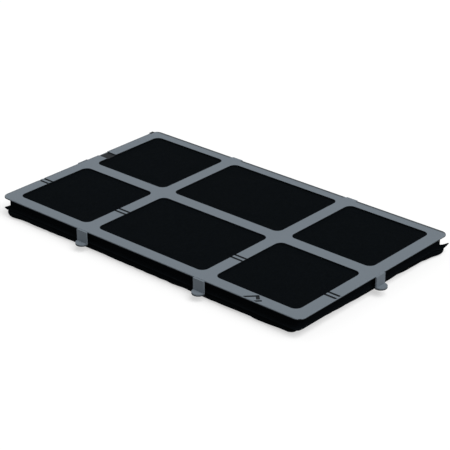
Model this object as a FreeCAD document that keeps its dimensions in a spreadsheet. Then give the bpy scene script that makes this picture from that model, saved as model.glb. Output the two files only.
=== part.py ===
# Cooker hood carbon filter: a moulded plastic grille with six clips, and the sealed pouch of
# activated carbon that the clips hold under it. X runs along the panel, Y to its rear, Z up.
# The origin is under the middle of the panel, on the surface that the pouch rests on.
import FreeCAD, Part
import math
import os
import Sketcher

doc = FreeCAD.newDocument("CarbonFilter")
sizes = doc.addObject("Spreadsheet::Sheet", "sizes")

# Driving dimensions in millimetres, and one angle in degrees.
dimensions = [
    ("panelLength", "430", "length of the grille plate, along X"),
    ("panelWidth", "250", "width of the grille plate, along Y"),
    ("panelHeight", "24", "from the resting face to the top of the grille plate"),
    ("plateThickness", "1.6", "wall of the grille plate"),
    ("plateCorner", "8.5", "radius of the plate's corners in plan"),
    ("plateEdge", "0.7", "rounding of the plate's outer top edge"),
    ("endRim", "15", "rim along the two short sides"),
    ("longRim", "13.5", "rim along the two long sides"),
    ("barWidth", "15", "width of the bars between the windows"),
    ("middleWindow", "154", "length of the two middle windows"),
    ("windowCorner", "8", "radius of the windows' corners"),
    ("scorePlace", "65", "from the panel's middle to the middle of the pair of score grooves"),
    ("scoreSpacing", "6.2", "between the two score grooves"),
    ("scoreWidth", "3.1", "width of a score groove"),
    ("scoreDepth", "0.6", "depth of a score groove"),
    ("seatPlace", "33", "from the panel's middle to the middle of the seat across the left rim"),
    ("seatLength", "15", "length of the seat along the rim"),
    ("seatDepth", "1", "depth of the seat"),
    ("nibPlace", "8", "from the plate's rear edge to the middle of the nib on the left edge"),
    ("nibLength", "5.5", "length of the nib"),
    ("nibReach", "1.5", "how far the nib stands out from the plate's edge"),
    ("markPlace", "141.8", "from the panel's middle to the foot of the arrow mark, along X"),
    ("markAngle", "45", "angle of the arrow mark to the rim"),
    ("markLength", "16.8", "length of the arrow mark's shaft"),
    ("markWidth", "10.2", "width of the arrow mark's shaft"),
    ("markOverhang", "1.6", "how far the closing stroke passes the shaft"),
    ("markStroke", "2.9", "width of a thin stroke"),
    ("markHeavyStroke", "3.8", "width of the closing stroke"),
    ("markDepth", "0.6", "depth of the engraving"),
    ("clipWidth", "14.5", "width of a clip's tongue and lug"),
    ("clipThickness", "1.8", "thickness of a clip's tongue"),
    ("clipProud", "2", "how far a clip stands out from the plate's edge"),
    ("clipStep", "0.6", "how far the clips' roots lie under the plate's top"),
    ("endClipPlace", "2", "from the panel's middle to the middle of the end clips, along Y"),
    ("endClipRise", "1.5", "how much higher the end clips end than the others"),
    ("lugFlat", "0.25", "how far the lug falls short of a full half disc"),
    ("lugThickness", "2.6", "thickness of the lug"),
    ("lugEdge", "0.6", "rounding of the lug's lower edge"),
    ("noseWidth", "10", "width of the nose that catches the seam lip"),
    ("noseCatch", "2.5", "how far the nose reaches under the seam lip"),
    ("noseHeight", "2.2", "height of the nose, which ends level with the clip's foot"),
    ("noseTaper", "35", "slope of the nose's lead-in, in degrees"),
    ("padGap", "0.3", "clearance between the pouch and the grille"),
    ("seamEndGap", "2.5", "clearance between the seam lip and the end clips"),
    ("padInset", "4.5", "from the plate's edge to the pouch's upper wall"),
    ("padCorner", "6", "radius of the upper wall's corners in plan"),
    ("padShoulder", "1.5", "rounding of the pouch's top edge"),
    ("seamHeight", "10", "from the resting face to the underside of the seam lip"),
    ("seamThickness", "1.4", "thickness of the seam lip"),
    ("seamCorner", "1.5", "radius of the seam lip's corners in plan"),
    ("bowlEndGap", "1.2", "how far the lower wall's ends lie in from a nose's reach under the lip"),
    ("bowlCorner", "9", "radius of the lower wall's corners in plan"),
    ("bowlRound", "7.4", "rounding of the pouch's bottom edge"),
]
for row, (alias, value, meaning) in enumerate(dimensions, start=1):
    sizes.set(f"A{row}", meaning)
    sizes.set(f"B{row}", value)
    sizes.setAlias(f"B{row}", alias)
doc.recompute()

# Places that several features share, as expressions over the sheet.
plateTop = "sizes.panelHeight"
plateBottom = "(sizes.panelHeight - sizes.plateThickness)"
halfLength = "(sizes.panelLength / 2)"
halfWidth = "(sizes.panelWidth / 2)"
barPlace = "((sizes.middleWindow + sizes.barWidth) / 2)"
halfBar = "(sizes.barWidth / 2)"
halfMiddleWindow = "(sizes.middleWindow / 2)"
windowEndX = f"({halfLength} - sizes.endRim)"
windowEndY = f"({halfWidth} - sizes.longRim)"
clipOuterX = f"({halfLength} + sizes.clipProud)"
clipOuterY = f"({halfWidth} + sizes.clipProud)"
clipInnerX = f"({clipOuterX} - sizes.clipThickness)"
clipInnerY = f"({clipOuterY} - sizes.clipThickness)"
halfClip = "(sizes.clipWidth / 2)"
halfNose = "(sizes.noseWidth / 2)"
noseTop = "(sizes.seamHeight - sizes.padGap)"
clipFoot = f"({noseTop} - sizes.noseHeight)"
clipTop = f"({plateTop} - sizes.clipStep)"
rootThickness = "(sizes.plateThickness - sizes.clipStep)"
clipDrop = f"({clipTop} - {clipFoot})"
endClipFoot = f"({clipFoot} + sizes.endClipRise)"
endClipDrop = f"({clipTop} - {endClipFoot})"
seamTop = "(sizes.seamHeight + sizes.seamThickness)"
seamEdgeX = f"({clipInnerX} - sizes.seamEndGap)"
seamEdgeY = f"({clipInnerY} - sizes.padGap)"
padTop = f"({plateBottom} - sizes.padGap)"
lugReach = f"({halfClip} - sizes.lugFlat)"
lugRadius = f"(({halfClip} ^ 2 + {lugReach} ^ 2) / (2 * {lugReach}))"


def value(expression):
    # The number that an expression over the sheet gives.
    return float(sizes.evalExpression(expression))


def originPlane(body, role):
    for feature in body.Origin.OriginFeatures:
        if feature.Role == role:
            return feature


def newBody(name):
    body = doc.addObject("PartDesign::Body", name)
    body.Label = name
    return body


def newSketch(body, name, height):
    # A sketch parallel to the resting face, at a height above it.
    sketch = body.newObject("Sketcher::SketchObject", name)
    sketch.AttachmentSupport = [(originPlane(body, "XY_Plane"), "")]
    sketch.MapMode = "FlatFace"
    sketch.setExpression("AttachmentOffset.Base.z", height)
    return sketch


def hold(sketch, kind, parts, expression):
    # Adds a dimension to a sketch and binds it to an expression.
    index = sketch.addConstraint(Sketcher.Constraint(kind, *parts, value(expression)))
    name = f"{kind}{index}"
    sketch.renameConstraint(index, name)
    sketch.setExpression(f"Constraints.{name}", expression)


def addLine(sketch, start, end):
    vectors = [FreeCAD.Vector(x, y, 0) for x, y in (start, end)]
    return sketch.addGeometry(Part.LineSegment(*vectors))


def addRectangle(sketch, left, front, right, rear):
    # A plain rectangle whose four sides are held by expressions.
    x0, y0, x1, y1 = (value(side) for side in (left, front, right, rear))
    corners = [(x0, y0), (x1, y0), (x1, y1), (x0, y1)]
    lines = [addLine(sketch, corners[n], corners[(n + 1) % 4]) for n in range(4)]
    for n in range(4):
        sketch.addConstraint(Sketcher.Constraint("Coincident", lines[n], 2, lines[(n + 1) % 4], 1))
    for line in (lines[0], lines[2]):
        sketch.addConstraint(Sketcher.Constraint("Horizontal", line))
    for line in (lines[1], lines[3]):
        sketch.addConstraint(Sketcher.Constraint("Vertical", line))
    hold(sketch, "DistanceX", (-1, 1, lines[3], 1), left)
    hold(sketch, "DistanceX", (-1, 1, lines[1], 1), right)
    hold(sketch, "DistanceY", (-1, 1, lines[0], 1), front)
    hold(sketch, "DistanceY", (-1, 1, lines[2], 1), rear)


def addRoundedRectangle(sketch, left, front, right, rear, radius):
    # A rectangle with four equal round corners, held by expressions.
    x0, y0, x1, y1, r = (value(part) for part in (left, front, right, rear, radius))
    runs = [
        ((x0 + r, y0), (x1 - r, y0)),
        ((x1, y0 + r), (x1, y1 - r)),
        ((x1 - r, y1), (x0 + r, y1)),
        ((x0, y1 - r), (x0, y0 + r)),
    ]
    lines = [addLine(sketch, start, end) for start, end in runs]
    centres = [(x1 - r, y0 + r), (x1 - r, y1 - r), (x0 + r, y1 - r), (x0 + r, y0 + r)]
    arcs = []
    for n, (x, y) in enumerate(centres):
        circle = Part.Circle(FreeCAD.Vector(x, y, 0), FreeCAD.Vector(0, 0, 1), r)
        start = (n - 1) * math.pi / 2
        arcs.append(sketch.addGeometry(Part.ArcOfCircle(circle, start, start + math.pi / 2)))
    for n in range(4):
        sketch.addConstraint(Sketcher.Constraint("Tangent", lines[n], 2, arcs[n], 1))
        sketch.addConstraint(Sketcher.Constraint("Tangent", arcs[n], 2, lines[(n + 1) % 4], 1))
    for line in (lines[0], lines[2]):
        sketch.addConstraint(Sketcher.Constraint("Horizontal", line))
    for line in (lines[1], lines[3]):
        sketch.addConstraint(Sketcher.Constraint("Vertical", line))
    for arc in arcs[1:]:
        sketch.addConstraint(Sketcher.Constraint("Equal", arcs[0], arc))
    hold(sketch, "Radius", (arcs[0],), radius)
    hold(sketch, "DistanceX", (-1, 1, lines[3], 1), left)
    hold(sketch, "DistanceX", (-1, 1, lines[1], 1), right)
    hold(sketch, "DistanceY", (-1, 1, lines[0], 1), front)
    hold(sketch, "DistanceY", (-1, 1, lines[2], 1), rear)


def addFrontLug(sketch, middle):
    # The half-round lug of a clip on the front side, in plan: its base covers the tongue.
    left = f"{middle} - {halfClip}"
    right = f"{middle} + {halfClip}"
    x0, x1, r = value(left), value(right), value(lugRadius)
    inner, outer = -value(clipInnerY), -value(clipOuterY)
    sideLeft = addLine(sketch, (x0, outer), (x0, inner))
    base = addLine(sketch, (x0, inner), (x1, inner))
    sideRight = addLine(sketch, (x1, inner), (x1, outer))
    centre = FreeCAD.Vector((x0 + x1) / 2, outer - value(lugReach) + r, 0)
    opening = math.atan2((x1 - x0) / 2, r - value(lugReach))
    circle = Part.Circle(centre, FreeCAD.Vector(0, 0, 1), r)
    arc = Part.ArcOfCircle(circle, -math.pi / 2 - opening, -math.pi / 2 + opening)
    bow = sketch.addGeometry(arc)
    for first, second in ((sideLeft, base), (base, sideRight)):
        sketch.addConstraint(Sketcher.Constraint("Coincident", first, 2, second, 1))
    sketch.addConstraint(Sketcher.Constraint("Coincident", sideRight, 2, bow, 2))
    sketch.addConstraint(Sketcher.Constraint("Coincident", bow, 1, sideLeft, 1))
    sketch.addConstraint(Sketcher.Constraint("Horizontal", base))
    sketch.addConstraint(Sketcher.Constraint("Vertical", sideLeft))
    sketch.addConstraint(Sketcher.Constraint("Vertical", sideRight))
    hold(sketch, "DistanceX", (-1, 1, sideLeft, 1), left)
    hold(sketch, "DistanceX", (-1, 1, sideRight, 1), right)
    hold(sketch, "DistanceY", (-1, 1, base, 1), f"-{clipInnerY}")
    hold(sketch, "DistanceY", (-1, 1, sideLeft, 1), f"-{clipOuterY}")
    hold(sketch, "DistanceY", (-1, 1, sideRight, 2), f"-{clipOuterY}")
    hold(sketch, "Radius", (bow,), lugRadius)


def addRightLug(sketch):
    # The half-round lug of the clip on the right side, in plan.
    front = f"sizes.endClipPlace - {halfClip}"
    rear = f"sizes.endClipPlace + {halfClip}"
    y0, y1, r = value(front), value(rear), value(lugRadius)
    inner, outer = value(clipInnerX), value(clipOuterX)
    sideFront = addLine(sketch, (inner, y0), (outer, y0))
    base = addLine(sketch, (inner, y1), (inner, y0))
    sideRear = addLine(sketch, (outer, y1), (inner, y1))
    centre = FreeCAD.Vector(outer + value(lugReach) - r, (y0 + y1) / 2, 0)
    opening = math.atan2((y1 - y0) / 2, r - value(lugReach))
    circle = Part.Circle(centre, FreeCAD.Vector(0, 0, 1), r)
    bow = sketch.addGeometry(Part.ArcOfCircle(circle, -opening, opening))
    for first, second in ((sideRear, base), (base, sideFront)):
        sketch.addConstraint(Sketcher.Constraint("Coincident", first, 2, second, 1))
    sketch.addConstraint(Sketcher.Constraint("Coincident", sideFront, 2, bow, 1))
    sketch.addConstraint(Sketcher.Constraint("Coincident", bow, 2, sideRear, 1))
    sketch.addConstraint(Sketcher.Constraint("Vertical", base))
    sketch.addConstraint(Sketcher.Constraint("Horizontal", sideFront))
    sketch.addConstraint(Sketcher.Constraint("Horizontal", sideRear))
    hold(sketch, "DistanceY", (-1, 1, sideFront, 1), front)
    hold(sketch, "DistanceY", (-1, 1, sideRear, 1), rear)
    hold(sketch, "DistanceX", (-1, 1, base, 1), clipInnerX)
    hold(sketch, "DistanceX", (-1, 1, sideFront, 2), clipOuterX)
    hold(sketch, "DistanceX", (-1, 1, sideRear, 1), clipOuterX)
    hold(sketch, "Radius", (bow,), lugRadius)


def addPad(body, name, sketch, length, down=False, taper=None):
    pad = body.newObject("PartDesign::Pad", name)
    pad.Profile = sketch
    pad.Reversed = down
    pad.setExpression("Length", length)
    if taper:
        pad.setExpression("TaperAngle", taper)
    return pad


def addPocket(body, name, sketch, depth):
    pocket = body.newObject("PartDesign::Pocket", name)
    pocket.Profile = sketch
    pocket.setExpression("Length", depth)
    return pocket


def addMirror(body, name, features, plane):
    mirror = body.newObject("PartDesign::Mirrored", name)
    mirror.Originals = features
    mirror.MirrorPlane = (originPlane(body, plane), [""])
    body.Tip = mirror
    return mirror


def addFillet(body, name, base, chosen, radius):
    # Rounds the edges of the base feature that a test picks out.
    doc.recompute()
    edges = [f"Edge{n}" for n, edge in enumerate(base.Shape.Edges, start=1) if chosen(edge)]
    fillet = body.newObject("PartDesign::Fillet", name)
    fillet.Base = (base, edges)
    fillet.setExpression("Radius", radius)
    body.Tip = fillet
    return fillet


def isLevel(edge, height):
    # True for an edge that lies flat at a height.
    return all(abs(vertex.Z - height) < 1e-4 for vertex in edge.Vertexes)


def buildPlate(body):
    sketch = newSketch(body, "plateSketch", plateBottom)
    addRoundedRectangle(
        sketch, f"-{halfLength}", f"-{halfWidth}", halfLength, halfWidth, "sizes.plateCorner"
    )
    plate = addPad(body, "plate", sketch, "sizes.plateThickness")
    top = value(plateTop)
    addFillet(body, "plateEdgeRound", plate, lambda edge: isLevel(edge, top), "sizes.plateEdge")


def buildWindows(body):
    # Six windows: an end, a middle and an end window in the front row and in the rear row.
    sketch = newSketch(body, "windowSketch", plateTop)
    columns = [
        (f"-{windowEndX}", f"-{halfMiddleWindow} - sizes.barWidth"),
        (f"-{halfMiddleWindow}", halfMiddleWindow),
        (f"{halfMiddleWindow} + sizes.barWidth", windowEndX),
    ]
    rows = [(f"-{windowEndY}", f"-{halfBar}"), (halfBar, windowEndY)]
    for left, right in columns:
        for front, rear in rows:
            addRoundedRectangle(sketch, left, front, right, rear, "sizes.windowCorner")
    addPocket(body, "windows", sketch, "sizes.plateThickness")


def buildFrontClips(body):
    # Two clips hang from the front rim where the bars end, and two from the rear rim.
    # The rim carries on outwards to each tongue, as its root.
    places = (f"-{barPlace}", barPlace)
    rootSketch = newSketch(body, "frontRootSketch", plateBottom)
    tongueSketch = newSketch(body, "frontTongueSketch", clipTop)
    lugSketch = newSketch(body, "frontLugSketch", clipFoot)
    noseSketch = newSketch(body, "frontNoseSketch", noseTop)
    for middle in places:
        left, right = f"{middle} - {halfClip}", f"{middle} + {halfClip}"
        rootEnd = f"-{halfWidth} + sizes.clipThickness"
        addRectangle(rootSketch, left, f"-{clipOuterY}", right, rootEnd)
        addRectangle(tongueSketch, left, f"-{clipOuterY}", right, f"-{clipInnerY}")
        addFrontLug(lugSketch, middle)
        left, right = f"{middle} - {halfNose}", f"{middle} + {halfNose}"
        noseTip = f"-{seamEdgeY} + sizes.noseCatch"
        addRectangle(noseSketch, left, f"-{clipOuterY}", right, noseTip)
    roots = addPad(body, "frontRoots", rootSketch, rootThickness)
    tongues = addPad(body, "frontTongues", tongueSketch, clipDrop, down=True)
    lugs = addPad(body, "frontLugs", lugSketch, "sizes.lugThickness")
    noses = addPad(
        body, "frontNoses", noseSketch, "sizes.noseHeight", down=True, taper="-sizes.noseTaper"
    )
    addMirror(body, "rearClips", [roots, tongues, lugs, noses], "XZ_Plane")


def buildEndClips(body):
    # One clip hangs from the right rim beside the middle bar, and one from the left rim.
    # They are a little shorter than the others and have no nose.
    front, rear = f"sizes.endClipPlace - {halfClip}", f"sizes.endClipPlace + {halfClip}"
    rootSketch = newSketch(body, "rightRootSketch", plateBottom)
    addRectangle(rootSketch, f"{halfLength} - sizes.clipThickness", front, clipOuterX, rear)
    tongueSketch = newSketch(body, "rightTongueSketch", clipTop)
    addRectangle(tongueSketch, clipInnerX, front, clipOuterX, rear)
    lugSketch = newSketch(body, "rightLugSketch", endClipFoot)
    addRightLug(lugSketch)
    root = addPad(body, "rightRoot", rootSketch, rootThickness)
    tongue = addPad(body, "rightTongue", tongueSketch, endClipDrop, down=True)
    lug = addPad(body, "rightLug", lugSketch, "sizes.lugThickness")
    mirror = addMirror(body, "leftClip", [root, tongue, lug], "YZ_Plane")
    radius, foot, endFoot = value(lugRadius), value(clipFoot), value(endClipFoot)

    def isLugEdge(edge):
        # The lower bows of the six lugs.
        bowed = isinstance(edge.Curve, Part.Circle) and abs(edge.Curve.Radius - radius) < 1e-3
        return bowed and (isLevel(edge, foot) or isLevel(edge, endFoot))

    addFillet(body, "lugRound", mirror, isLugEdge, "sizes.lugEdge")


def buildScores(body):
    # Two grooves run along the panel, across the rims and bars of the front row.
    sketch = newSketch(body, "scoreSketch", plateTop)
    for side in ("-", "+"):
        middle = f"-sizes.scorePlace {side} sizes.scoreSpacing / 2"
        addRectangle(
            sketch,
            f"-{clipOuterX}",
            f"{middle} - sizes.scoreWidth / 2",
            clipOuterX,
            f"{middle} + sizes.scoreWidth / 2",
        )
    addPocket(body, "scores", sketch, "sizes.scoreDepth")


def buildSeat(body):
    # A shallow seat crosses the left rim beside the middle bar.
    sketch = newSketch(body, "seatSketch", plateTop)
    addRectangle(
        sketch,
        f"-{clipOuterX}",
        "sizes.seatPlace - sizes.seatLength / 2",
        f"-{windowEndX} + sizes.windowCorner",
        "sizes.seatPlace + sizes.seatLength / 2",
    )
    addPocket(body, "seat", sketch, "sizes.seatDepth")


def buildNib(body):
    # A small nib stands out from the left edge near its rear corner.
    sketch = newSketch(body, "nibSketch", plateBottom)
    addRectangle(
        sketch,
        f"-{halfLength} - sizes.nibReach",
        f"{halfWidth} - sizes.nibPlace - sizes.nibLength / 2",
        f"-{halfLength} + sizes.plateEdge + sizes.nibReach",
        f"{halfWidth} - sizes.nibPlace + sizes.nibLength / 2",
    )
    addPad(body, "nib", sketch, "sizes.plateThickness")


def buildMark(body):
    # An arrow in outline, engraved at an angle in the front rim: two sides of a shaft that
    # run off the plate's edge, and a heavier stroke that closes them.
    sketch = newSketch(body, "markSketch", plateTop)
    sketch.setExpression("AttachmentOffset.Base.x", "sizes.markPlace")
    sketch.setExpression("AttachmentOffset.Base.y", f"-{halfWidth}")
    sketch.AttachmentOffset.Rotation = FreeCAD.Rotation(
        FreeCAD.Vector(0, 0, 1), value("sizes.markAngle")
    )
    sketch.setExpression("AttachmentOffset.Rotation.Angle", "sizes.markAngle")
    halfStroke = "(sizes.markStroke / 2)"
    closing = "sizes.markLength - sizes.markHeavyStroke"
    addRectangle(sketch, f"-{halfStroke}", f"-{halfStroke}", closing, halfStroke)
    far = "(-sizes.markWidth)"
    edge = "(sizes.markWidth / tan(sizes.markAngle))"
    addRectangle(
        sketch,
        f"{edge} - sizes.markStroke",
        f"{far} - {halfStroke}",
        f"sizes.markLength + {halfStroke}",
        f"{far} + {halfStroke}",
    )
    addRectangle(
        sketch, closing, f"{far} + sizes.markStroke", "sizes.markLength", "sizes.markOverhang"
    )
    addPocket(body, "mark", sketch, "sizes.markDepth")


def buildGrille():
    body = newBody("top_grille")
    buildPlate(body)
    buildWindows(body)
    buildFrontClips(body)
    buildEndClips(body)
    buildScores(body)
    buildSeat(body)
    buildNib(body)
    buildMark(body)
    return body


def buildPouch():
    # The sealed pouch: an upper wall inside the clips, a thin seam lip all round, and a lower
    # half with a round bottom edge, which stands clear of the clips' noses.
    body = newBody("carbon_pad")
    lowerSketch = newSketch(body, "lowerSketch", "0")
    lowerX = f"({seamEdgeX} - sizes.noseCatch - sizes.bowlEndGap)"
    lowerY = f"({seamEdgeY} - sizes.noseCatch - sizes.padGap)"
    addRoundedRectangle(
        lowerSketch, f"-{lowerX}", f"-{lowerY}", lowerX, lowerY, "sizes.bowlCorner"
    )
    lower = addPad(body, "lowerHalf", lowerSketch, "sizes.seamHeight")
    addFillet(body, "bottomRound", lower, lambda edge: isLevel(edge, 0), "sizes.bowlRound")
    seamSketch = newSketch(body, "seamSketch", "sizes.seamHeight")
    addRoundedRectangle(
        seamSketch, f"-{seamEdgeX}", f"-{seamEdgeY}", seamEdgeX, seamEdgeY, "sizes.seamCorner"
    )
    addPad(body, "seamLip", seamSketch, "sizes.seamThickness")
    upperSketch = newSketch(body, "upperSketch", seamTop)
    upperX = f"({halfLength} - sizes.padInset)"
    upperY = f"({halfWidth} - sizes.padInset)"
    addRoundedRectangle(
        upperSketch, f"-{upperX}", f"-{upperY}", upperX, upperY, "sizes.padCorner"
    )
    upper = addPad(body, "upperHalf", upperSketch, f"{padTop} - {seamTop}")
    doc.recompute()
    top = value(padTop)
    addFillet(body, "shoulderRound", upper, lambda edge: isLevel(edge, top), "sizes.padShoulder")
    return body


def check(body):
    # Stops on a feature that failed, or on a piece that isn't one valid solid.
    for feature in body.Group:
        if "Invalid" in feature.State or "Error" in feature.State:
            raise RuntimeError(f"{feature.Name} failed: {feature.State}")
    shape = body.Shape
    if shape.isNull() or not shape.isValid() or len(shape.Solids) != 1:
        raise RuntimeError(f"{body.Label} isn't one valid solid")
    box = shape.BoundBox
    print(
        f"{body.Label}: {shape.Volume / 1000:.1f} cm3, "
        f"X {box.XMin:.2f} to {box.XMax:.2f}, Y {box.YMin:.2f} to {box.YMax:.2f}, "
        f"Z {box.ZMin:.2f} to {box.ZMax:.2f}"
    )


bodies = [buildGrille(), buildPouch()]
doc.recompute()
for body in bodies:
    check(body)
os.makedirs("parts", exist_ok=True)
for body in bodies:
    body.Shape.exportStep(f"parts/{body.Label}.step")
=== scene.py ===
import math

import bmesh
import bpy
from mathutils import Matrix, Vector, noise


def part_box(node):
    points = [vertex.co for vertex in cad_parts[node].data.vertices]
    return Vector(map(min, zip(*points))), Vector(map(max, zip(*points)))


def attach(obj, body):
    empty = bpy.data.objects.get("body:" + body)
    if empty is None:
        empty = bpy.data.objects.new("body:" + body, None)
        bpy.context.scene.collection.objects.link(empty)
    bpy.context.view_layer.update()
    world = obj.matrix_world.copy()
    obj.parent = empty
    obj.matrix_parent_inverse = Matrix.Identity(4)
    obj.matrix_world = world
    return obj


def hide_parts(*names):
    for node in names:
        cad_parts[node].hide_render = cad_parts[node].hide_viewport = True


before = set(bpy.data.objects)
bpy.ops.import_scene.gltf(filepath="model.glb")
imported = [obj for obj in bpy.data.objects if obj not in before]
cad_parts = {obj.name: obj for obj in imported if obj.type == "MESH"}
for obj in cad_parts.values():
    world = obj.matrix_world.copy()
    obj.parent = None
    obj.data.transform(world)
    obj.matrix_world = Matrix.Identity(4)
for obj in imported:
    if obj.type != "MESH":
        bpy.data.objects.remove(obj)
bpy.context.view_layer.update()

mm = 0.001
tiny = 0.01                    # mm, less than any detail
grilleLow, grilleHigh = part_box("top_grille")
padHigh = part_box("carbon_pad")[1]
padX, padY = padHigh.x / mm, padHigh.y / mm    # mm, from the pouch's middle to the edge of its lip
print("frame loaded")


def linear(code):
    # An sRGB hex colour as linear red, green, blue and alpha.
    channels = [int(code[n:n + 2], 16) / 255 for n in (1, 3, 5)]
    return [c / 12.92 if c <= 0.04045 else ((c + 0.055) / 1.055) ** 2.4 for c in channels] + [1]


def addObject(name, data):
    body = bpy.data.objects.new(name, data)
    bpy.context.scene.collection.objects.link(body)
    return body


def newMaterial(name):
    material = bpy.data.materials.new(name)
    material.use_nodes = True
    material.node_tree.nodes.clear()
    return material


def addNode(owner, kind, inputs=None, **settings):
    # Adds a node. Each of its inputs takes a value, or a link from another node's socket.
    node = owner.node_tree.nodes.new(kind)
    for name, value in settings.items():
        setattr(node, name, value)
    for name, value in (inputs or {}).items():
        if isinstance(value, bpy.types.NodeSocket):
            owner.node_tree.links.new(value, node.inputs[name])
        else:
            node.inputs[name].default_value = value
    return node


def maths(owner, operation, *parts):
    return addNode(owner, "ShaderNodeMath", dict(enumerate(parts)), operation=operation).outputs[0]


def mapRange(owner, value, start, full, low=0, high=1):
    # Runs from low to high while the value runs from start to full, and stays there beyond them.
    ends = {0: value, 1: start, 2: full, 3: low, 4: high}
    return addNode(owner, "ShaderNodeMapRange", ends).outputs[0]


def mixColours(owner, share, first, second):
    # The first colour where the share is 0, and the second where it is 1.
    mix = addNode(owner, "ShaderNodeMix", {"Factor": share, 6: first, 7: second}, data_type="RGBA")
    return mix.outputs[2]


def noiseShare(owner, place, size, detail, bend=0):
    # Noise from 0 to 1 with lumps of this size, in mm.
    inputs = {"Vector": place, "Scale": 1 / (size * mm), "Detail": detail, "Distortion": bend}
    return addNode(owner, "ShaderNodeTexNoise", inputs).outputs["Fac"]


def addBump(owner, height, strength, depth):
    inputs = {"Strength": strength, "Distance": depth * mm, "Height": height}
    return addNode(owner, "ShaderNodeBump", inputs).outputs["Normal"]


def finishMaterial(material, shader):
    addNode(material, "ShaderNodeOutputMaterial", {"Surface": shader.outputs[0]})
    return material


camera = {
    "place": (1052.7, -1172.7, 781.3),  # mm, in the part's frame
    "aim": (22.6, -16.5, 24.0),         # mm, a point of the plate's top in the middle of the picture
    "roll": 0.28,                       # degrees, clockwise
    "lens": 128.4,                      # mm
    "sensor": 36,                       # mm wide
    "reach": 50,                        # m, the furthest it sees
}


def makeCamera(c):
    data = bpy.data.cameras.new("camera")
    data.sensor_width = c["sensor"]
    data.lens = c["lens"]
    data.clip_end = c["reach"]
    body = addObject("camera", data)
    place = Vector(c["place"]) * mm
    look = Vector(c["aim"]) * mm - place
    turn = look.to_track_quat("-Z", "Y").to_matrix().to_4x4()
    roll = Matrix.Rotation(math.radians(-c["roll"]), 4, "Z")
    body.matrix_world = Matrix.Translation(place) @ turn @ roll
    bpy.context.scene.camera = body


makeCamera(camera)
print("camera placed")


grilleSizes = {
    "length": 430, "width": 250, "endRim": 15, "longRim": 13.5, "bar": 15, "middle": 154,
    "clipX": 84.5, "clipY": 2,     # mm, the places of the clips
    "clipBand": 20,                # mm in from the plate's edge, where the clips hang
}

mouldedAbs = {
    "grey": "#727b83",         # the moulded blue-grey
    "greyShade": "#6c757d",    # slow colour drift over the plate
    "drift": 60,               # mm, size of the colour drift
    "driftDetail": 3,
    "roughness": (0.5, 0.6),   # which drifts with the colour
    "ior": 1.5,
    "sheen": 0.08,             # of the usual gloss, because the moulded grain takes it away
    "grain": 0.9,              # mm, the spark-eroded grain, drawn coarser than the real 0.1 mm
    "grainDetail": 2,
    "grainStrength": 0.5,
    "grainDepth": 0.02,        # mm
    "floorAndNibShade": "#14181b",         # painted shade on the floors of the grooves, the mark and the seat, and on the nib
    "wallShade": "#0a0d10",     # painted shade on the walls of the windows and grooves, and on the lower part of the plate's outer sides
    "level": 0.9,              # how far up a floor faces at least, where 1 is straight up
    "upright": 0.5,            # how far up or down a wall faces at most
    "floorDepth": 0.3,         # mm under the plate's top, below which level faces are floors with painted shade
    "wallDepth": 0.12,         # mm under the plate's top, over which the walls turn dark with painted shade
    "rimKept": 10.5,           # mm in from the lugs' ends: outside this the walls and floors get no painted shade
    "edgeKept": 8.7,           # mm in from the lugs' ends, just outside the plate's own edge
    "edgeShade": (0.7, 1.2),    # mm under the plate's top, where painted shade on its outer sides starts and is full
    "nib": (212.4, 117, 3.6),  # mm, the nib, painted dark as shade: left of the first, within the third of the second
    "edgeAndFootShade": "#2f3437",        # painted shade along the rear and left edges and at the clips' feet
    "rearShade": (4.2, 2.6, 0.8),  # mm in from the edge where the painted shade starts and is full, and how strong; the same for the left edge below
    "leftShade": (2.8, 1.2, 0.35),
    "clipUnshaded": 8.5,          # mm either side of a rear clip, where the rear edge gets no painted shade
    "lugShade": (1.7, 1.3, 0.9),  # mm above a clip's foot where painted shade on the foot starts and is full, and how strong
    "endClipStart": 0.3,       # mm out from the plate's ends, where only the end clips are
    "endClipRise": 1.5,        # mm, how much higher the end clips end
}


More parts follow.
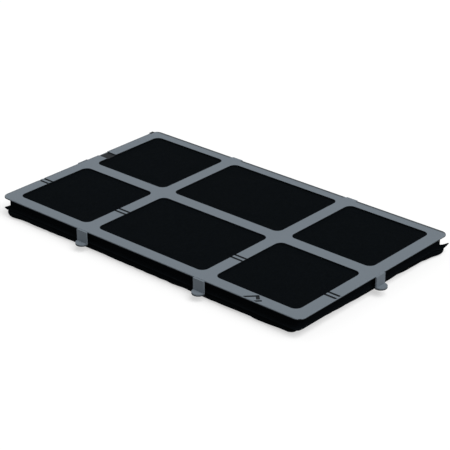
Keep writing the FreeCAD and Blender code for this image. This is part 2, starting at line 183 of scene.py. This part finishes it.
def makeMouldedAbs(c, w):
    # ABS, injection moulded against a spark-eroded tool: an even, slightly grained satin grey.
    # Painted shade darkens the grooves, mark, seat, nib, window walls, lower outer sides, rear and left
    # edges and clips' feet.
    m = newMaterial("mouldedAbs")
    place = addNode(m, "ShaderNodeTexCoord").outputs["Object"]
    x, y, z = addNode(m, "ShaderNodeSeparateXYZ", {"Vector": place}).outputs
    sideX, sideY = maths(m, "ABSOLUTE", x), maths(m, "ABSOLUTE", y)
    depth = maths(m, "SUBTRACT", grilleHigh.z, z)
    normal = addNode(m, "ShaderNodeNewGeometry").outputs["Normal"]
    up = addNode(m, "ShaderNodeSeparateXYZ", {"Vector": normal}).outputs["Z"]

    def within(inset):
        # 1 further in than this from the lugs' ends, in mm, and 0 outside it.
        return maths(m, "MULTIPLY", maths(m, "LESS_THAN", sideX, grilleHigh.x - inset * mm),
                     maths(m, "LESS_THAN", sideY, grilleHigh.y - inset * mm))

    drift = noiseShare(m, place, c["drift"], c["driftDetail"])
    tint = mixColours(m, drift, linear(c["greyShade"]), linear(c["grey"]))

    # Painted shade: level floors under the plate's top, and the nib, turn dark.
    inside = within(c["rimKept"])
    floors = maths(m, "MULTIPLY", maths(m, "GREATER_THAN", depth, c["floorDepth"] * mm),
                   maths(m, "GREATER_THAN", up, c["level"]))
    edge, middle, reach = c["nib"]
    fromNib = maths(m, "ABSOLUTE", maths(m, "SUBTRACT", y, middle * mm))
    nib = maths(m, "MULTIPLY", maths(m, "LESS_THAN", x, -edge * mm),
                maths(m, "LESS_THAN", fromNib, reach * mm))
    floorAndNibShade = maths(m, "MAXIMUM", maths(m, "MULTIPLY", floors, inside), nib)
    floorShaded = mixColours(m, floorAndNibShade, tint, linear(c["floorAndNibShade"]))

    # Painted shade along the rear and left edges, left out at the rear clips, and over the lower part of
    # the clips' feet.
    plateX, plateY = w["length"] / 2, w["width"] / 2
    start, full, strength = c["rearShade"]
    rear = mapRange(m, y, (plateY - start) * mm, (plateY - full) * mm, 0, strength)
    fromClip = maths(m, "ABSOLUTE", maths(m, "SUBTRACT", sideX, w["clipX"] * mm))
    rear = maths(m, "MULTIPLY", rear, maths(m, "GREATER_THAN", fromClip, c["clipUnshaded"] * mm))
    start, full, strength = c["leftShade"]
    left = mapRange(m, x, (start - plateX) * mm, (full - plateX) * mm, 0, strength)
    onEndClip = maths(m, "GREATER_THAN", sideX, (plateX + c["endClipStart"]) * mm)
    aboveFoot = maths(m, "SUBTRACT", z, maths(m, "MULTIPLY", onEndClip, c["endClipRise"] * mm))
    start, full, strength = c["lugShade"]
    lugs = mapRange(m, aboveFoot, grilleLow.z + start * mm, grilleLow.z + full * mm, 0, strength)
    edgeAndFootShade = maths(m, "MAXIMUM", maths(m, "MAXIMUM", rear, left), lugs)
    edgeAndFootShaded = mixColours(m, edgeAndFootShade, floorShaded, linear(c["edgeAndFootShade"]))

    # Painted shade on the walls of the windows and grooves just under the top, and on the lower part of
    # the outer sides.
    upright = maths(m, "LESS_THAN", maths(m, "ABSOLUTE", up), c["upright"])
    inner = maths(m, "MULTIPLY", inside, mapRange(m, depth, 0, c["wallDepth"] * mm))
    start, full = c["edgeShade"]
    outer = maths(m, "MULTIPLY", within(c["edgeKept"]), mapRange(m, depth, start * mm, full * mm))
    walls = maths(m, "MULTIPLY", upright, maths(m, "MAXIMUM", inner, outer))
    colour = mixColours(m, walls, edgeAndFootShaded, linear(c["wallShade"]))

    grain = noiseShare(m, place, c["grain"], c["grainDetail"])
    return finishMaterial(m, addNode(m, "ShaderNodeBsdfPrincipled", {
        "Base Color": colour, "Roughness": mapRange(m, drift, 0, 1, *c["roughness"]),
        "IOR": c["ior"], "Specular IOR Level": c["sheen"],
        "Normal": addBump(m, grain, c["grainStrength"], c["grainDepth"])}))


fleece = {
    "black": "#06080a",
    "fibre": "#0e1215",        # fibres that catch the light
    "fibreLength": 3.0,        # mm
    "fibreWidth": 0.5,         # mm, drawn coarser than the real 0.03 mm
    "fibreWays": (20, 80, 140),  # degrees, the ways in which they lie
    "fibreBend": 0.6,          # how much they wind
    "fibreDetail": 2,
    "fibreShown": (0.45, 0.75),  # heights of the tangle at which they start to show and show in full
    "matting": 12,             # mm, thicker and thinner patches
    "mattingDetail": 4,
    "mattingShare": 0.5,       # of the tangle's height
    "relief": 0.7,
    "depth": 0.15,             # mm, of the relief
    "roughness": 1.0,
    "sheen": 0.01,
}


def makeFleece(c):
    # Polyester fleece, needled and full of carbon: matt black, with short tangled fibres.
    m = newMaterial("needledFleece")
    place = addNode(m, "ShaderNodeTexCoord").outputs["Object"]
    stretch = (1, c["fibreWidth"] / c["fibreLength"], 1)
    layers = []
    for angle in c["fibreWays"]:
        turn = addNode(m, "ShaderNodeMapping", {
            "Vector": place, "Rotation": (0, 0, math.radians(angle)), "Scale": stretch}).outputs[0]
        layers.append(noiseShare(m, turn, c["fibreWidth"], c["fibreDetail"], c["fibreBend"]))
    tangle = layers[0]
    for layer in layers[1:]:
        tangle = maths(m, "MAXIMUM", tangle, layer)
    patches = noiseShare(m, place, c["matting"], c["mattingDetail"])
    height = maths(m, "MULTIPLY_ADD", patches, c["mattingShare"], tangle)
    shown = mapRange(m, tangle, *c["fibreShown"])
    return finishMaterial(m, addNode(m, "ShaderNodeBsdfPrincipled", {
        "Base Color": mixColours(m, shown, linear(c["black"]), linear(c["fibre"])),
        "Roughness": c["roughness"], "Specular IOR Level": c["sheen"],
        "Normal": addBump(m, height, c["relief"], c["depth"])}))


print("materials described")


pouch = {
    "cell": 4.0,               # mm, of the mesh before it is subdivided
    "topEdge": 22.0,           # mm, where the fleece meets the plate's underside
    "topCorner": 6.0,          # mm, in plan
    "wallIn": (2.4, 4.6),      # mm in X and Y, from the lip's edge in to the upper wall
    "shoulder": 2.2,           # mm, rounding of the top edge
    "shoulderSteps": 4,
    "wallLevels": (17.6, 15.6, 13.6, 11.8),   # mm, of the upper wall
    "lip": (10.2, 11.3),       # mm, underside and top of the seam lip
    # The rings of points round the lip, from the upper wall to the lower one: what they are measured
    # from, how far out in X and Y, the corner's radius in plan, and the height above the lip's top or
    # underside, all in mm.
    "lipRings": [
        ("wall", 0.5, 0.7, 4, "top", 0),
        ("edge", -0.9, -1.6, 2, "top", -0.1),
        ("edge", 0, 0, 1.5, "top", -0.3),
        ("edge", 0, 0, 1.5, "underside", 0.2),
        ("edge", -0.9, -1.6, 2, "underside", 0),
        ("bowl", 0.3, 0.3, 4, "underside", -0.1),
        ("bowl", 0, 0, 8, "underside", -1.2),
    ],
    "bowlIn": (3.7, 2.9),      # mm in X and Y, from the lip's edge in to the lower wall
    "bowlRound": 7.0,          # mm, rounding of the bottom edge
    "bowlCorner": 8.0,         # mm, in plan
    "bowlSteps": 6,
    # How far the lower wall stands out along each side, as places and distances in mm.
    "frontOut": [(-215, 1.8), (-198, 4.6), (-180, 3.0), (-140, 2.4), (-105, 1.5), (-75, 1.1),
                 (-40, 1.4), (0, 1.5), (70, 1.2), (110, 1.8), (150, 1.3), (215, 0.2)],
    "rearOut": [(-215, 1.2), (-140, 1.8), (-100, 0.9), (-70, 0.9), (10, 2.0), (70, 0.9), (100, 0.9),
                (160, 1.6), (215, 2.0)],
    "leftOut": [(-125, 1.5), (-100, 1.5), (-50, 1.4), (-14, 0.6), (18, 0.6), (60, 1.4), (125, 0.8)],
    "rightOut": [(-125, -4.5), (-118, -4.8), (-106, -6.2), (-97, -6.0), (-80, -4.2), (-60, -3.0),
                 (-40, -2.1), (-14, -1.0), (18, -0.6), (45, -1.0), (65, -0.1), (85, 0.6), (100, 3.1),
                 (112, 4.7), (125, 5.4)],
    "outBand": (22, 10),       # mm in from the lip's edge, where this starts and is full
    "outUnder": 0.5,           # mm under the lip, below which the lower wall stands out
    "clipsEnd": 7.1,           # mm above the ground, below which no clip is in its way
    # The ears of the lip at the corners: side in X and Y, how far the tip reaches out and
    # rises, and how far the root sinks, in mm.
    "ears": [(-1, -1, 0.3, 0.2, 2), (1, 1, 3.6, 2.4, 6.5), (1, -1, -0.9, -0.3, 0), (-1, 1, 1.2, 0.8, 2)],
    "earTip": 8,               # mm, size of an ear's tip
    "earRoot": 24,             # mm, how far along the sides the lip sinks towards it
    "earAbove": 0.6,           # mm above the lip, where an ear's pull ends
    "earUnder": (1.5, 0.3),    # mm under the lip, where the tip's pull starts and is full
    "earInset": 2.5,           # mm out from the upper wall, where the tip's pull is full
    "lipHeld": (0.3, 0.2),     # mm under and above the lip, where the filling doesn't move the fleece
    "barHeld": 0.02,           # share of a window's rise, below which a bar holds the fleece
    "quality": 6,              # steps of the simulation in each frame
    "frames": 20,
    "pressure": 0.8,           # of the granules against the fleece
    "spare": 0.012,            # share of spare fleece, which lets it wrinkle
    "crown": 0.8,              # mm, how far the fleece may swell up into a window
    "crownEdge": 9.0,          # mm, over which it rises from a bar
    "sideCap": 0.8,            # mm, how far a side may swell
    "sideTop": 22.2,           # mm, how high a side may reach
    "stillUnder": 0.001,       # mm, a smaller move of a side is left out
    "clipClear": (12, 22),     # mm from a clip's middle, over which the sides may start to swell
    "cornerClear": (12, 26),   # mm from the lip's corner, the same
    "lumps": 0.12,             # mm, of the granules under the fleece
    "lumpSize": 7,             # mm
}


def smooth(value):
    value = min(max(value, 0), 1)
    return value * value * (3 - 2 * value)


def between(value, ends):
    # 0 up to the first end, 1 from the second on, and a soft step between.
    return smooth((value - ends[0]) / (ends[1] - ends[0]))


def along(points, place):
    # A value that changes smoothly between the points of a list.
    for (p0, v0), (p1, v1) in zip(points, points[1:]):
        if place <= p1:
            return v0 + (v1 - v0) * between(place, (p0, p1))
    return points[-1][1]


def roundedPoint(x, y, halfX, halfY, radius):
    # Moves a point of a rectangle so that the rectangle's corners become round.
    inX, inY = abs(x) - (halfX - radius), abs(y) - (halfY - radius)
    if inX <= 0 or inY <= 0:
        return x, y
    shrink = max(inX, inY) / math.hypot(inX, inY)
    return (math.copysign(halfX - radius + inX * shrink, x),
            math.copysign(halfY - radius + inY * shrink, y))


def windowRise(x, y, w, edge):
    # 1 inside a window, 0 under the rims and bars, and a soft step between them.
    column = abs(x)
    if column < (w["middle"] + w["bar"]) / 2:
        acrossX = w["middle"] / 2 - column
    else:
        acrossX = min(column - w["middle"] / 2 - w["bar"], w["length"] / 2 - w["endRim"] - column)
    acrossY = min(abs(y) - w["bar"] / 2, w["width"] / 2 - w["longRim"] - abs(y))
    return smooth(acrossX / edge) * smooth(acrossY / edge)


def clipRoom(x, y, w, clear):
    # 0 beside a clip, where the pouch keeps its place, and 1 away from the clips.
    room = 1
    if abs(y) > w["width"] / 2 - w["clipBand"]:
        room *= between(abs(abs(x) - w["clipX"]), clear)
    if abs(x) > w["length"] / 2 - w["clipBand"]:
        room *= between(abs(y - w["clipY"]), clear)
    return room


def pouchLevels(c):
    # The pouch's outline at each level from the top edge down to the foot: half its length and
    # width, the corner's radius and the height, in mm.
    wallX, wallY = padX - c["wallIn"][0], padY - c["wallIn"][1]
    bowlX, bowlY = padX - c["bowlIn"][0], padY - c["bowlIn"][1]
    low, high = c["lip"]
    levels = []
    for step in range(c["shoulderSteps"] + 1):
        angle = math.pi / 2 * step / c["shoulderSteps"]
        inset = c["shoulder"] * (1 - math.sin(angle))
        z = c["topEdge"] - c["shoulder"] * (1 - math.cos(angle))
        levels.append((wallX - inset, wallY - inset, c["topCorner"], z))
    for z in c["wallLevels"]:
        levels.append((wallX, wallY, c["topCorner"], z))
    outlines = {"wall": (wallX, wallY), "edge": (padX, padY), "bowl": (bowlX, bowlY)}
    heights = {"top": high, "underside": low}
    for outline, outX, outY, corner, side, rise in c["lipRings"]:
        halfX, halfY = outlines[outline]
        levels.append((halfX + outX, halfY + outY, corner, heights[side] + rise))
    for step in range(c["bowlSteps"] + 1):
        angle = math.pi / 2 * step / c["bowlSteps"]
        inset = c["bowlRound"] * (1 - math.cos(angle))
        z = c["bowlRound"] * (1 - math.sin(angle))
        levels.append((bowlX - inset, bowlY - inset, c["bowlCorner"], z))
    return levels


def bowlOut(x, y, c):
    # How far the lower wall stands out here, in X and in Y.
    nearX = between(padX - abs(x), c["outBand"])
    nearY = between(padY - abs(y), c["outBand"])
    outX = along(c["rightOut"] if x > 0 else c["leftOut"], y) * nearX
    outY = along(c["rearOut"] if y > 0 else c["frontOut"], x) * nearY
    return outX if x > 0 else -outX, outY if y > 0 else -outY


def makeShell(c, w):
    # The pouch as a closed shell of squares, before its filling presses it out.
    levels = pouchLevels(c)
    columns = round(2 * padX / c["cell"])
    rows = round(2 * padY / c["cell"])
    path = [(i, 0) for i in range(columns)] + [(columns, j) for j in range(rows)]
    path += [(i, rows) for i in range(columns, 0, -1)] + [(0, j) for j in range(rows, 0, -1)]
    mesh = bmesh.new()

    def addPoint(i, j, level):
        halfX, halfY, corner, z = level
        x, y = halfX * (2 * i / columns - 1), halfY * (2 * j / rows - 1)
        x, y = roundedPoint(x, y, halfX, halfY, corner)
        if z < c["lip"][0] - c["outUnder"]:
            outX, outY = bowlOut(x, y, c)
            room = 1 if z < c["clipsEnd"] else clipRoom(x, y, w, c["clipClear"])
            x, y = x + outX * room, y + outY * room
        return mesh.verts.new((x, y, z))

    def addGrid(level):
        points = {(i, j): addPoint(i, j, level) for i in range(columns + 1) for j in range(rows + 1)}
        for i in range(columns):
            for j in range(rows):
                mesh.faces.new((points[i, j], points[i + 1, j], points[i + 1, j + 1], points[i, j + 1]))
        return [points[key] for key in path]

    rings = [addGrid(levels[0])]
    rings += [[addPoint(i, j, level) for i, j in path] for level in levels[1:-1]]
    rings.append(addGrid(levels[-1]))
    for upper, lower in zip(rings, rings[1:]):
        for n in range(len(path)):
            m = (n + 1) % len(path)
            mesh.faces.new((upper[n], lower[n], lower[m], upper[m]))
    bmesh.ops.recalc_face_normals(mesh, faces=mesh.faces)
    data = bpy.data.meshes.new("carbonPouch")
    mesh.to_mesh(data)
    mesh.free()
    return addObject("carbonPouch", data)


def pressOut(body, c, w):
    # Where the granules press each point of the fleece to. The lip, the bars and the ground hold it.
    low, high = c["lip"]
    under, above = c["lipHeld"]
    held = body.vertex_groups.new(name="held")
    for vertex in body.data.vertices:
        x, y, z = vertex.co
        onLip = low - under < z < high + above
        underBar = z > c["topEdge"] - tiny and windowRise(x, y, w, c["crownEdge"]) < c["barHeld"]
        onGround = z < tiny
        if onLip or underBar or onGround:
            held.add([vertex.index], 1, "REPLACE")
    body.data.transform(Matrix.Scale(mm, 4))
    cloth = body.modifiers.new("filling", "CLOTH")
    cloth.settings.vertex_group_mass = "held"
    cloth.settings.quality = c["quality"]
    cloth.settings.use_pressure = True
    cloth.settings.uniform_pressure_force = c["pressure"]
    cloth.settings.shrink_min = -c["spare"]
    cloth.settings.effector_weights.gravity = 0
    cloth.point_cache.frame_start = 1
    cloth.point_cache.frame_end = c["frames"]
    scene = bpy.context.scene
    for step in range(1, c["frames"] + 1):
        scene.frame_set(step)
    filled = body.evaluated_get(bpy.context.evaluated_depsgraph_get()).to_mesh()
    pressed = [vertex.co / mm for vertex in filled.vertices]
    body.modifiers.remove(cloth)
    scene.frame_set(1)
    return pressed


def fillPouch(body, c, w):
    # Each point goes some of the way that its filling presses it, so that the pouch keeps its place.
    start = [vertex.co.copy() for vertex in body.data.vertices]
    pressed = pressOut(body, c, w)
    sizes = sorted((a - b).length for a, b in zip(pressed, start))
    most, half, ninth = sizes[-1], sizes[len(sizes) // 2], sizes[len(sizes) * 9 // 10]
    print("filling moved the fleece by up to", round(most, 2), "mm, half of it under", round(half, 2),
          "mm, nine tenths under", round(ninth, 2), "mm")
    for vertex, old, new in zip(body.data.vertices, start, pressed):
        move = new - old
        if old.z > c["topEdge"] - tiny:
            rise = windowRise(old.x, old.y, w, c["crownEdge"])
            room = c["crown"] * rise
            up = room * (1 - math.exp(-max(move.z, 0) / room)) if room > tiny else 0
            lump = c["lumps"] * rise * noise.noise(old / c["lumpSize"])
            place = old + Vector((0, 0, up + lump))
        else:
            fromCorner = math.hypot(padX - abs(old.x), padY - abs(old.y))
            cap = c["sideCap"] * clipRoom(old.x, old.y, w, c["clipClear"])
            cap *= between(fromCorner, c["cornerClear"])
            length = move.length
            place = old.copy()
            if cap > tiny and length > c["stillUnder"]:
                place += move * (cap * (1 - math.exp(-length / cap)) / length)
            place.z = min(max(place.z, 0), c["sideTop"])
        vertex.co = place * mm


def shapeEars(body, c):
    # The corners of the welded lip stand out as ears, and one of them curls up from a low root.
    low, high = c["lip"]
    inX, inY = c["wallIn"]
    for vertex in body.data.vertices:
        x, y, z = vertex.co / mm
        if z > high + c["earAbove"]:
            continue
        onLip = smooth(max(abs(x) - padX + inX, abs(y) - padY + inY) / c["earInset"])
        onLip *= between(low - z, c["earUnder"])
        for sideX, sideY, reach, rise, sink in c["ears"]:
            away = math.hypot(padX - x * sideX, padY - y * sideY)
            tip = smooth(1 - away / c["earTip"])
            root = smooth(1 - away / c["earRoot"]) - tip
            out = reach * tip * onLip
            up = rise * tip * onLip - sink * root * z / high
            vertex.co += Vector((sideX * out, sideY * out, up)) * mm


def makePouch(c, w):
    body = makeShell(c, w)
    fillPouch(body, c, w)
    shapeEars(body, c)
    finer = body.modifiers.new("finer", "SUBSURF")
    finer.levels = finer.render_levels = 1
    bpy.context.view_layer.update()
    shaped = bpy.data.meshes.new_from_object(body.evaluated_get(bpy.context.evaluated_depsgraph_get()))
    body.modifiers.clear()
    body.data = shaped
    body.vertex_groups.clear()
    for polygon in shaped.polygons:
        polygon.use_smooth = True
    return body


carbonPouch = makePouch(pouch, grilleSizes)
carbonPouch.data.materials.append(makeFleece(fleece))
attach(carbonPouch, "root")
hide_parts("carbon_pad")
print("pouch made,", len(carbonPouch.data.polygons), "faces")

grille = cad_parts["top_grille"]
grille.data.materials.clear()
grille.data.materials.append(makeMouldedAbs(mouldedAbs, grilleSizes))
print("grille finished")


studio = {
    "white": "#ffffff",        # of the floor and the sky, as the camera sees them
    "bounce": "#8c8c8c",       # what the floor throws back at the object
    "glow": 0.5,               # share of the floor that shines by itself, which keeps its shadow light
    "glowStrength": 1.1,
    "floorSize": 8,            # m
    "backdrop": 1,             # how bright the sky is where the camera sees it
    "sky": 0.33,               # share of the light that comes from all round
    "sun": 0.64,               # share that comes from the lamp, on a level face
    "sunFrom": (0.66, -0.15, 1),
    "sunWidth": 50,            # degrees, a wide soft lamp
}


def shownRays(owner):
    # 1 for what the camera sees straight, or in gloss and glass.
    rays = addNode(owner, "ShaderNodeLightPath")
    shown = rays.outputs["Is Camera Ray"]
    for name in ("Is Glossy Ray", "Is Transmission Ray"):
        shown = maths(owner, "MAXIMUM", shown, rays.outputs[name])
    return shown


def mixShaders(owner, share, first, second):
    # The first shader where the share is 0, and the second where it is 1.
    return addNode(owner, "ShaderNodeMixShader", {0: share, 1: first.outputs[0], 2: second.outputs[0]})


def makeFloor(c):
    # A board painted matt white. The camera sees it white with a soft shadow, and the object gets
    # less light back from it.
    half = c["floorSize"] / 2
    data = bpy.data.meshes.new("floor")
    data.from_pydata([(-half, -half, 0), (half, -half, 0), (half, half, 0), (-half, half, 0)],
                     [], [(0, 1, 2, 3)])
    floor = addObject("floor", data)
    m = newMaterial("paintedFloor")
    white = linear(c["white"])
    painted = addNode(m, "ShaderNodeBsdfDiffuse", {"Color": white})
    glowing = addNode(m, "ShaderNodeEmission", {"Color": white, "Strength": c["glowStrength"]})
    bounced = addNode(m, "ShaderNodeBsdfDiffuse", {"Color": linear(c["bounce"])})
    seen = mixShaders(m, c["glow"], painted, glowing)
    data.materials.append(finishMaterial(m, mixShaders(m, shownRays(m), bounced, seen)))


def makeSky(c):
    # White all round: dimmer as a light than where the camera sees it.
    world = bpy.data.worlds.new("studio")
    world.use_nodes = True
    world.node_tree.nodes.clear()
    white = linear(c["white"])
    light = addNode(world, "ShaderNodeBackground", {"Color": white, "Strength": c["sky"]})
    seen = addNode(world, "ShaderNodeBackground", {"Color": white, "Strength": c["backdrop"]})
    sky = mixShaders(world, shownRays(world), light, seen)
    addNode(world, "ShaderNodeOutputWorld", {"Surface": sky.outputs[0]})
    bpy.context.scene.world = world


def makeLamp(c):
    lamp = bpy.data.lights.new("softLamp", "SUN")
    towards = Vector(c["sunFrom"]).normalized()
    lamp.energy = c["sun"] * math.pi / towards.z
    lamp.angle = math.radians(c["sunWidth"])
    body = addObject("softLamp", lamp)
    body.rotation_mode = "QUATERNION"
    body.rotation_quaternion = towards.to_track_quat("Z", "Y")


makeFloor(studio)
makeSky(studio)
makeLamp(studio)
bpy.context.scene.view_settings.view_transform = "Standard"
print("studio lit")
